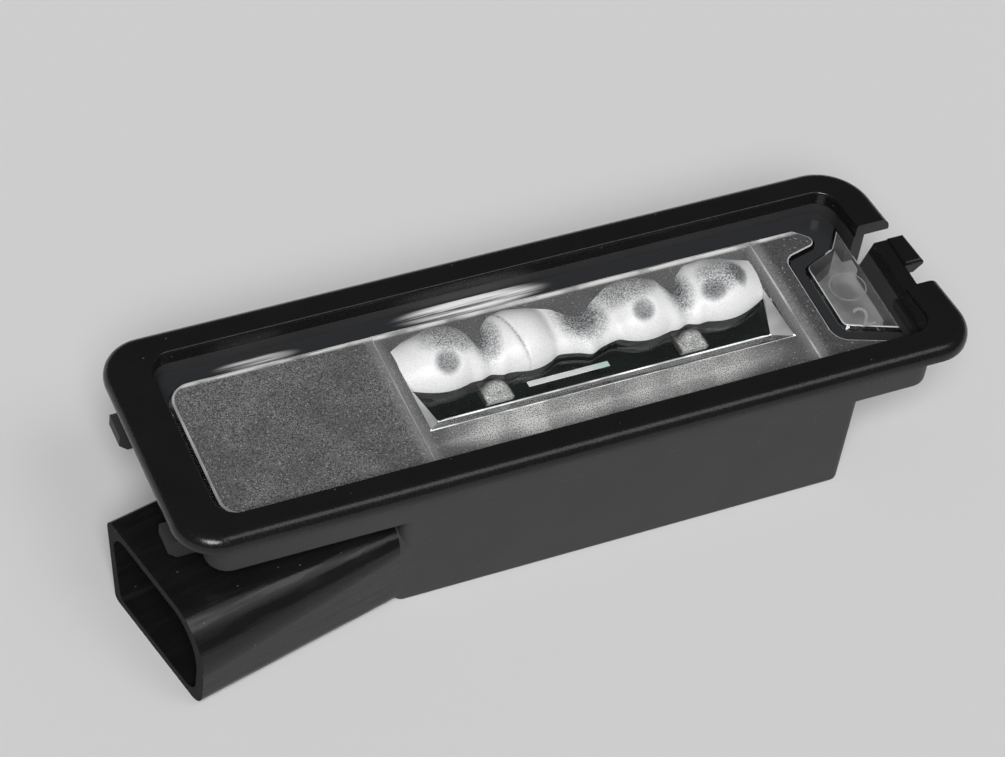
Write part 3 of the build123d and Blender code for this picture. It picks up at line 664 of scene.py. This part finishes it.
clear_plastic, tree, shader = new_finish("clear polished plastic")
grain = add_grain(tree, fine=2600.0, coarse=300.0, specks=500.0, speck_size=0.05)
set_inputs(shader, {"Base Color": CLEAR_COLOUR, "Transmission Weight": 1.0, "IOR": PLASTIC_IOR,
                    "Roughness": ramp(tree, grain["Cloud"], WIDE, CLEAR_ROUGHNESS)})
add_bump(tree, shader, grain["Cloud"], strength=0.04, depth=0.05)

hazy_plastic, tree, shader = new_finish("hazy clear plastic")
grain = add_grain(tree, fine=2600.0, coarse=250.0, specks=700.0, speck_size=0.05)
haze = mix_colour(tree, ramp(tree, grain["Cloud"], NARROW, FULL), *HAZE_GREYS)
set_inputs(shader, {"Base Color": haze, "Transmission Weight": 0.92, "IOR": PLASTIC_IOR,
                    "Roughness": ramp(tree, grain["Cloud"], WIDE, HAZE_ROUGHNESS)})
print("made:", clear_plastic.name, "and", hazy_plastic.name)

# %% [markdown]
# ## Lens, frosted plastic
# Frost is the same plastic with a sandy surface that scatters part of the light, so it shows as grey
# grains. Past the field it is darker, and a slow noise leaves dark patches in it. Each of these is a mask
# that mixes in another grey.

# %% Lens, frosted plastic
SAND_GREYS = ((0.12, 0.12, 0.125, 1), (0.54, 0.54, 0.555, 1))
PAST_FIELD_X, PAST_FIELD_SHARE = (30.9 * MM, 32.4 * MM), (0.0, 0.6)
PAST_FIELD_GREY = (0.1, 0.1, 0.105, 1)
PATCH_SPAN, PATCH_SHARE = (0.36, 0.62), (0.4, 0.0)
PATCH_GREY = (0.16, 0.16, 0.165, 1)

frosted_plastic, tree, shader = new_finish("frosted clear plastic")
place = object_place(tree)
grain = add_grain(tree, fine=7000.0, coarse=260.0, specks=1800.0, speck_size=0.17)
patch_grain = add_grain(tree, fine=7000.0, coarse=130.0, specks=2200.0, speck_size=0.2)
grey = mix_colour(tree, ramp(tree, grain["Height"], NARROW, FULL), *SAND_GREYS)
grey = mix_colour(tree, ramp(tree, place["X"], PAST_FIELD_X, PAST_FIELD_SHARE), grey, PAST_FIELD_GREY)
grey = mix_colour(tree, ramp(tree, patch_grain["Cloud"], PATCH_SPAN, PATCH_SHARE), grey, PATCH_GREY)
print("made:", frosted_plastic.name)

# %% [markdown]
# ## Lens, soft ovals
# Painted light and shade change over the lens in soft spots. Each one is an oval in plan, with a centre and
# two radii in millimetres. Spots that overlap are joined by taking the larger value.

# %% Lens, soft ovals
FALLING = (1.0, 0.0)


def most(tree, values):
    """The largest of several values."""
    largest = values[0]
    for value in values[1:]:
        largest = calc(tree, "MAXIMUM", largest, value)
    return largest


def spot(tree, place, centre, radii):
    """1 at the middle of an oval in plan, falling to 0 at its rim."""
    squares = []
    for axis, middle, radius in zip("XY", centre, radii):
        share = calc(tree, "DIVIDE", calc(tree, "SUBTRACT", place[axis], middle * MM), radius * MM)
        squares.append(calc(tree, "POWER", calc(tree, "ABSOLUTE", share), 2.0))
    return ramp(tree, calc(tree, "ADD", *squares), FULL, FALLING)


# %% [markdown]
# ## Lens, painted light on the frost
# In front of the trough a painted pool of light, with a little painted glow, stands for the light from the
# sources. Painted highlights make it brighter along the field's sides and back edge too. The masks of these
# places are joined and mix in a white.

# %% Lens, painted light on the frost
PAINTED_LIGHT_SPOTS = (((-3.0, -7.2), (13.0, 3.6), 1.0), ((14.0, -7.2), (15.0, 3.6), 0.75))
LIT_CLOUD = (0.5, 1.0)
LIT_GRAIN_SPAN, LIT_GRAIN = (0.38, 0.62), (0.1, 1.15)
SIDE_REACH, SIDE_SHARE = (0.1 * MM, 1.6 * MM), (0.3, 0.0)
BACK_EDGE_Y = (8.2 * MM, 8.7 * MM)
BACK_CLOUD_SPAN, BACK_CLOUD = (0.34, 0.58), (0.3, 1.0)
PAINTED_LIGHT_WHITE = (1.0, 0.99, 0.97, 1)
SPECK_GREY = (0.75, 0.75, 0.76, 1)
NO_GLOW = (0, 0, 0, 1)
FROST_PAINTED_GLOW = (0.34, 0.34, 0.33, 1)
FROST_ROUGHNESS = (0.32, 0.5)

painted_front_light = most(tree, [calc(tree, "MULTIPLY", spot(tree, place, centre, radii), share)
                        for centre, radii, share in PAINTED_LIGHT_SPOTS])
painted_front_light = calc(tree, "MULTIPLY", painted_front_light, ramp(tree, grain["Cloud"], NARROW, LIT_CLOUD))
painted_front_light = calc(tree, "MULTIPLY", painted_front_light, ramp(tree, grain["Height"], LIT_GRAIN_SPAN, LIT_GRAIN))
painted_back_light = calc(tree, "MULTIPLY", ramp(tree, place["Y"], BACK_EDGE_Y, FULL),
                ramp(tree, grain["Cloud"], BACK_CLOUD_SPAN, BACK_CLOUD))
lit = most(tree, [painted_front_light, painted_back_light])
painted_side_light = [ramp(tree, calc(tree, "ABSOLUTE", calc(tree, "SUBTRACT", place["X"], side)), SIDE_REACH, SIDE_SHARE)
         for side in FIELD_X]
# painted light in front of the trough and painted highlights along the field's sides and back edge
frost_with_painted_light = mix_colour(tree, most(tree, [lit, *painted_side_light]), grey, PAINTED_LIGHT_WHITE)
set_inputs(shader, {"Base Color": mix_colour(tree, grain["Specks"], frost_with_painted_light, SPECK_GREY),
                    "Emission Color": mix_colour(tree, lit, NO_GLOW, FROST_PAINTED_GLOW), "Emission Strength": 1.0,
                    "Roughness": ramp(tree, grain["Cloud"], WIDE, FROST_ROUGHNESS),
                    "Transmission Weight": 0.55, "IOR": PLASTIC_IOR})
add_bump(tree, shader, grain["Height"], strength=0.6, depth=0.06)
print("lit spots of the frost:", len(PAINTED_LIGHT_SPOTS))

# %% [markdown]
# ## Lens, white frost of the ridge
# On the ridge the frost is thick and white. The grey sand on the backs of the lobes is painted shade, and
# darker painted shade lies in the dimples and necks. Both are lists of ovals, each with a centre and two
# radii in millimetres, and a slow noise makes their rims ragged.

# %% Lens, white frost of the ridge
SHADE_SPOTS = (((-8.8, 5.8), (5.4, 3.9)), ((-5.0, 4.8), (2.6, 4.6)), ((7.0, 4.8), (4.4, 5.0)),
               ((13.2, 6.4), (5.6, 3.8)), ((18.9, 4.8), (2.6, 4.6)), ((24.6, 4.8), (4.2, 3.4)))
DARK_SHADE_SPOTS = (((-10.3, 2.3), (2.0, 1.8)), ((13.9, 2.5), (1.8, 1.8)), ((22.9, 2.7), (2.1, 1.8)),
             ((-5.4, 5.6), (1.5, 3.6)), ((6.8, 4.6), (2.8, 3.4)), ((19.0, 5.6), (1.5, 3.6)),
             ((26.6, 4.2), (1.4, 2.6)))
SHADE_SHARE, DARK_SHADE_SHARE = (0.0, 1.0), (0.0, 0.85)
SPOT_SPAN = (0.08, 1.1)
NOISE_MIDDLE = 0.5
RAGGEDNESS = 0.5

white_frost, tree, shader = new_finish("white frosted plastic")
place = object_place(tree)
grain = add_grain(tree, fine=5400.0, coarse=420.0, specks=2400.0, speck_size=0.22)
ragged = calc(tree, "MULTIPLY", calc(tree, "SUBTRACT", grain["Cloud"], NOISE_MIDDLE), RAGGEDNESS)


def ragged_spots(spots, share):
    ovals = most(tree, [spot(tree, place, centre, radii) for centre, radii in spots])
    return ramp(tree, calc(tree, "ADD", ovals, ragged), SPOT_SPAN, share)


painted_shade_spots = ragged_spots(SHADE_SPOTS, SHADE_SHARE)
painted_dark_spots = ragged_spots(DARK_SHADE_SPOTS, DARK_SHADE_SHARE)
print("made:", white_frost.name, "with", len(SHADE_SPOTS), "sandy and", len(DARK_SHADE_SPOTS), "dim spots")

# %% [markdown]
# ## Lens, greys of the ridge
# White frost, shaded sand and dark shade have a dark and a light grey each, and the sand's height goes from
# one to the other. The crease in the second lobe gets a thin line of painted shade. The spots then say where
# the painted shade shows.

# %% Lens, greys of the ridge
WHITE = (1, 1, 1, 1)
WHITE_GREYS = ((0.9, 0.9, 0.91, 1), WHITE)
SHADED_SAND_GREYS = ((0.16, 0.16, 0.165, 1), (0.72, 0.73, 0.74, 1))
DARK_SHADE_GREYS = ((0.03, 0.032, 0.036, 1), (0.3, 0.31, 0.32, 1))
CREASE_LEAN, CREASE_X = 0.22, -0.81 * MM
CREASE_WIDTH, CREASE_SHARE = (0.04 * MM, 0.26 * MM), (0.75, 0.0)
CREASE_Y, CREASE_FADE = (0.0, 2.0 * MM), (0.2, 1.0)

sand = ramp(tree, grain["Height"], NARROW, FULL)
leaning = calc(tree, "ADD", place["X"], calc(tree, "MULTIPLY", place["Y"], CREASE_LEAN))
off_crease = calc(tree, "ABSOLUTE", calc(tree, "SUBTRACT", leaning, CREASE_X))
crease_shade = ramp(tree, off_crease, CREASE_WIDTH, CREASE_SHARE)
crease_shade = calc(tree, "MULTIPLY", crease_shade, ramp(tree, place["Y"], CREASE_Y, CREASE_FADE))
shade_share = most(tree, [crease_shade, painted_shade_spots])
white, shaded_sand, dark_shade = [mix_colour(tree, sand, *greys) for greys in (WHITE_GREYS, SHADED_SAND_GREYS, DARK_SHADE_GREYS)]
# painted shade on the backs of the lobes, in the dimples, the necks and the crease
frost = mix_colour(tree, shade_share, white, shaded_sand)
frost = mix_colour(tree, painted_dark_spots, frost, dark_shade)
set_inputs(shader, {"Base Color": frost, "Roughness": 0.38, "IOR": 1.5})
add_bump(tree, shader, grain["Height"], strength=0.6, depth=0.06)
print("greys of", white_frost.name)

# %% [markdown]
# ## Lens, lit edges and lines
# Edges of clear plastic gather light and give it off again. To follow that light through the plastic would
# take a long render, so the edges and lines get a pale painted highlight in their colour and a little painted
# glow of their own, and a slow noise makes them uneven.

# %% Lens, lit edges and lines
EDGE_SPAN, LINE_SPAN = (0.35, 0.65), (0.36, 0.6)
EDGE_SHADE, LINE_SHADE = (0.35, 1.0), (0.3, 1.0)
EDGE_PAINTED_GREYS, LINE_PAINTED_GREYS = ((0.18, 0.18, 0.18, 1), (0.75, 0.75, 0.75, 1)), ((0.3, 0.3, 0.3, 1), WHITE)
EDGE_PAINTED_GLOW, LINE_PAINTED_GLOW = (0.09, 0.09, 0.09, 1), (0.45, 0.45, 0.45, 1)
EDGE_ROUGHNESS = 0.25


def lit_finish(name, span, shade, greys, glow, cloud, transmission):
    finish, tree, shader = new_finish(name)
    grain = add_grain(tree, fine=1500.0, coarse=cloud, specks=900.0, speck_size=0.2)
    shade = ramp(tree, grain["Cloud"], span, shade)
    set_inputs(shader, {"Base Color": mix_colour(tree, shade, *greys), "Emission Strength": 1.0,
                        "Emission Color": mix_colour(tree, shade, NO_GLOW, glow), "IOR": PLASTIC_IOR,
                        "Roughness": EDGE_ROUGHNESS, "Transmission Weight": transmission})
    return finish


bright_edge = lit_finish("lit edge of clear plastic", EDGE_SPAN, EDGE_SHADE, EDGE_PAINTED_GREYS, EDGE_PAINTED_GLOW,
                         cloud=160.0, transmission=0.3)
bright_line = lit_finish("lit line of clear plastic", LINE_SPAN, LINE_SHADE, LINE_PAINTED_GREYS, LINE_PAINTED_GLOW,
                         cloud=220.0, transmission=0.0)
print("made:", bright_edge.name, "and", bright_line.name)

# %% [markdown]
# ## Lens, welded rim
# The rim is welded to its black ledge with no air between, so it looks black. Two places behind the plateau
# have pale streaks of painted highlight, which come from a noise stretched along the rim. Then the lens gets
# all its finishes, in the order of the material indices.

# %% Lens, welded rim
STREAK_STRETCH = (55.0, 1900.0, 300.0)
STREAK_DETAIL, STREAK_ROUGHNESS = 5.0, 0.62
STREAK_SPAN = (0.36, 0.62)
PAINTED_HIGHLIGHT_SPOTS = (((-4.0, 10.5), (11.0, 1.6), 1.0), ((-30.0, 10.0), (6.0, 0.9), 0.6))
RIM_BLACK = (0.03, 0.031, 0.034, 1)
RIM_ROUGHNESS = (0.08, 0.2)

welded_rim, tree, shader = new_finish("welded rim over black")
place = object_place(tree)
stretched = add_node(tree, "ShaderNodeVectorMath", {0: object_point(tree), 1: STREAK_STRETCH},
                     operation="MULTIPLY").outputs["Vector"]
streaks = add_node(tree, "ShaderNodeTexNoise", {"Vector": stretched, "Scale": 1.0, "Detail": STREAK_DETAIL,
                                                "Roughness": STREAK_ROUGHNESS}).outputs["Fac"]
painted_highlight_mask = calc(tree, "ADD", *[calc(tree, "MULTIPLY", spot(tree, place, centre, radii), share)
                             for centre, radii, share in PAINTED_HIGHLIGHT_SPOTS])
painted_streak_share = calc(tree, "MULTIPLY", ramp(tree, painted_highlight_mask, FULL, FULL), ramp(tree, streaks, STREAK_SPAN, FULL))
set_inputs(shader, {"Base Color": mix_colour(tree, painted_streak_share, RIM_BLACK, WHITE),
                    "Roughness": ramp(tree, streaks, WIDE, RIM_ROUGHNESS)})
add_bump(tree, shader, streaks, strength=0.2, depth=0.02)

finishes = {CLEAR: clear_plastic, FROSTED: frosted_plastic, RIDGE: white_frost, PAD: hazy_plastic,
            EDGE: bright_edge, RIM: welded_rim, LINE: bright_line}
for index in sorted(finishes):
    lens.data.materials.append(finishes[index])
print("lens finishes:", [m.name for m in lens.data.materials])

# %% [markdown]
# ## Pad, ring of the ejector pin
# The clear pad carries the witness ring of an ejector pin, which pushed the lens out of its mould. It
# stands proud by a few hundredths of a millimetre: two circles are bridged, and the band is raised.

# %% Pad, ring of the ejector pin
MARK_HEIGHT = 0.05 * MM
RING_CENTRE = Vector((38.5, -1.0, 0)) * MM
RING_RADIUS = 2.2 * MM
RING_WIDTH = 0.12 * MM
RING_SEGMENTS = 96

ring_mesh = bmesh.new()
for radius in (RING_RADIUS, RING_RADIUS - RING_WIDTH):
    bmesh.ops.create_circle(ring_mesh, cap_ends=False, segments=RING_SEGMENTS, radius=radius)
bottom = bmesh.ops.bridge_loops(ring_mesh, edges=ring_mesh.edges[:])["faces"]
raised = bmesh.ops.extrude_face_region(ring_mesh, geom=bottom)["geom"]
raised = [part for part in raised if isinstance(part, bmesh.types.BMVert)]
bmesh.ops.translate(ring_mesh, verts=raised, vec=(0, 0, MARK_HEIGHT))
bmesh.ops.translate(ring_mesh, verts=ring_mesh.verts, vec=RING_CENTRE + Vector((0, 0, PLATEAU_Z)))
bmesh.ops.recalc_face_normals(ring_mesh, faces=ring_mesh.faces)
ring = add_piece(ring_mesh, "pad_witness_ring")
print("ring faces:", len(ring.data.polygons))

# %% [markdown]
# ## Pad, number of the cavity
# The number of the mould's cavity stands as high as the ring. It is a text, which is made a mesh before it
# gets its place.

# %% Pad, number of the cavity
NUMBER_PLACE = Vector((37.1, -7.2, 0)) * MM
NUMBER_SIZE = 4.2 * MM

number_curve = bpy.data.curves.new("cavity number", "FONT")
number_curve.body = "2"
number_curve.size = NUMBER_SIZE
number_curve.extrude = MARK_HEIGHT / 2
number_text = bpy.data.objects.new("cavity number", number_curve)
scene.collection.objects.link(number_text)
bpy.context.view_layer.update()
evaluated = number_text.evaluated_get(bpy.context.evaluated_depsgraph_get())
number_shape = bmesh.new()
number_shape.from_mesh(bpy.data.meshes.new_from_object(evaluated))
bpy.data.objects.remove(number_text)
bmesh.ops.remove_doubles(number_shape, verts=number_shape.verts, dist=MERGE_WITHIN)
bmesh.ops.translate(number_shape, verts=number_shape.verts,
                    vec=NUMBER_PLACE + Vector((0, 0, PLATEAU_Z + MARK_HEIGHT / 2)))
number = add_piece(number_shape, "pad_number")
print("number faces:", len(number.data.polygons))

# %% [markdown]
# ## Pad, finish of the marks
# Both marks are the plastic of the lens, a little hazier, so they show as faint pale lines. They are
# part of the lens and ride with it.

# %% Pad, finish of the marks
MARK_GREYS = ((0.45, 0.45, 0.45, 1), WHITE)

faint_mark, tree, shader = new_finish("faint raised mark")
grain = add_grain(tree, fine=2600.0, coarse=400.0, specks=700.0, speck_size=0.05)
set_inputs(shader, {"Base Color": mix_colour(tree, grain["Cloud"], *MARK_GREYS), "Roughness": 0.2,
                    "Transmission Weight": 0.6, "IOR": PLASTIC_IOR})
for mark in (ring, number):
    mark.data.materials.append(faint_mark)
    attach(mark, "root")
print("marks:", ring.name, number.name)

# %% [markdown]
# ## Pins and small parts
# Under the lens lies a board with small parts, and two pins lead from it to the plug. They are hardly
# seen, so their CAD shapes stay, and each kind gets a finish with a dark and a light tone, a roughness
# and a metallic value.

# %% Pins and small parts
PLAIN_FINISHES = {
    "tinned brass": (("contact_plus", "contact_minus"), (0.62, 0.58, 0.48), (0.78, 0.75, 0.68), 0.28, 1.0),
    "fired ceramic": (("capacitor_1", "capacitor_2"), (0.42, 0.31, 0.2), (0.56, 0.44, 0.31), 0.5, 0.0),
    "moulded black": (("protection_diode", "surge_diode", "regulator", "resistor_1", "resistor_2",
                       "resistor_3", "resistor_4"), (0.02, 0.02, 0.02), (0.045, 0.045, 0.045), 0.5, 0.0),
}
ROUGHNESS_SPREAD = 0.06

for name, (nodes, dark, light, rough, metal) in PLAIN_FINISHES.items():
    finish, tree, shader = new_finish(name)
    grain = add_grain(tree, fine=4000.0, coarse=900.0, specks=600.0, speck_size=0.05)
    roughness = ramp(tree, grain["Cloud"], WIDE, (rough - ROUGHNESS_SPREAD, rough + ROUGHNESS_SPREAD))
    set_inputs(shader, {"Base Color": mix_colour(tree, grain["Cloud"], (*dark, 1), (*light, 1)),
                        "Metallic": metal, "Roughness": roughness})
    add_bump(tree, shader, grain["Height"], strength=0.1, depth=0.02)
    for node in nodes:
        dress(node, finish)
    print(name, "on", ", ".join(nodes))

# %% [markdown]
# ## Light sources
# The two sources are covered with cream phosphor. Seen through the lens they are painted brightest in front,
# with a painted glow, and painted shade darkens them toward the back and the sides.

# %% Light sources
SOURCES_X = (-4.4 * MM, 20.0 * MM)
SOURCE_SIDE = (1.35 * MM, 1.85 * MM)
SOURCE_BACK, SOURCE_FADE = (0.4 * MM, 2.3 * MM), (1.0, 0.1)
SPECKLE_SPAN = (0.38, 0.62)
CREAM = ((0.4, 0.4, 0.395, 1), (0.95, 0.95, 0.93, 1))
SOURCE_PAINTED_SHADE = (0.05, 0.05, 0.05, 1)
SOURCE_PAINTED_GLOW = ((0.06, 0.06, 0.06, 1), (0.34, 0.34, 0.33, 1))

phosphor, tree, shader = new_finish("cream phosphor")
place = object_place(tree)
grain = add_grain(tree, fine=6400.0, coarse=700.0, specks=1500.0, speck_size=0.25)
speckle = ramp(tree, grain["Height"], SPECKLE_SPAN, FULL)
aside = [calc(tree, "ABSOLUTE", calc(tree, "SUBTRACT", place["X"], middle)) for middle in SOURCES_X]
lit = calc(tree, "MULTIPLY", most(tree, [ramp(tree, distance, SOURCE_SIDE, FALLING) for distance in aside]),
           ramp(tree, place["Y"], SOURCE_BACK, SOURCE_FADE))
set_inputs(shader, {"Base Color": mix_colour(tree, lit, SOURCE_PAINTED_SHADE, mix_colour(tree, speckle, *CREAM)),
                    "Emission Color": mix_colour(tree, lit, NO_GLOW, mix_colour(tree, speckle, *SOURCE_PAINTED_GLOW)),
                    "Emission Strength": 1.0, "Roughness": 0.4})
for node in ("led_left", "led_right"):
    dress(node, phosphor)
print("led_left, led_right:", phosphor.name)

# %% [markdown]
# ## Board
# The board has a dark green solder mask. Between the sources a white strip is printed on it, which turns
# green at its right end, and it has a painted glow for the light that reaches it through the lens. The strip
# is a mask: right of its left side, left of its right side, and so on.

# %% Board
STRIP_X = (-0.2 * MM, 9.9 * MM)
STRIP_Y = (0.55 * MM, 1.5 * MM)
STRIP_TURNS_X = (7.2 * MM, 8.8 * MM)
STRIP_COLOURS = ((1.0, 1.0, 0.97, 1), (0.35, 0.8, 0.68, 1))
STRIP_PAINTED_GLOW = (0.4, 0.4, 0.39, 1)
MASK_GREENS = ((0.004, 0.008, 0.007, 1), (0.012, 0.03, 0.026, 1))
MASK_ROUGHNESS = (0.25, 0.4)

solder_mask, tree, shader = new_finish("dark solder mask")
place = object_place(tree)
grain = add_grain(tree, fine=4000.0, coarse=300.0, specks=900.0, speck_size=0.06)
on_strip = 1.0
for axis, (low, high) in (("X", STRIP_X), ("Y", STRIP_Y)):
    on_strip = calc(tree, "MULTIPLY", on_strip, calc(tree, "GREATER_THAN", place[axis], low))
    on_strip = calc(tree, "MULTIPLY", on_strip, calc(tree, "LESS_THAN", place[axis], high))
mask_green = mix_colour(tree, grain["Cloud"], *MASK_GREENS)
strip_colour = mix_colour(tree, ramp(tree, place["X"], STRIP_TURNS_X, FULL), *STRIP_COLOURS)
set_inputs(shader, {"Base Color": mix_colour(tree, on_strip, mask_green, strip_colour),
                    "Emission Color": mix_colour(tree, on_strip, NO_GLOW, STRIP_PAINTED_GLOW),
                    "Emission Strength": 1.0, "Roughness": ramp(tree, grain["Cloud"], WIDE, MASK_ROUGHNESS)})
add_bump(tree, shader, grain["Height"], strength=0.1, depth=0.02)
dress("circuit_board", solder_mask)
print("circuit_board:", solder_mask.name)
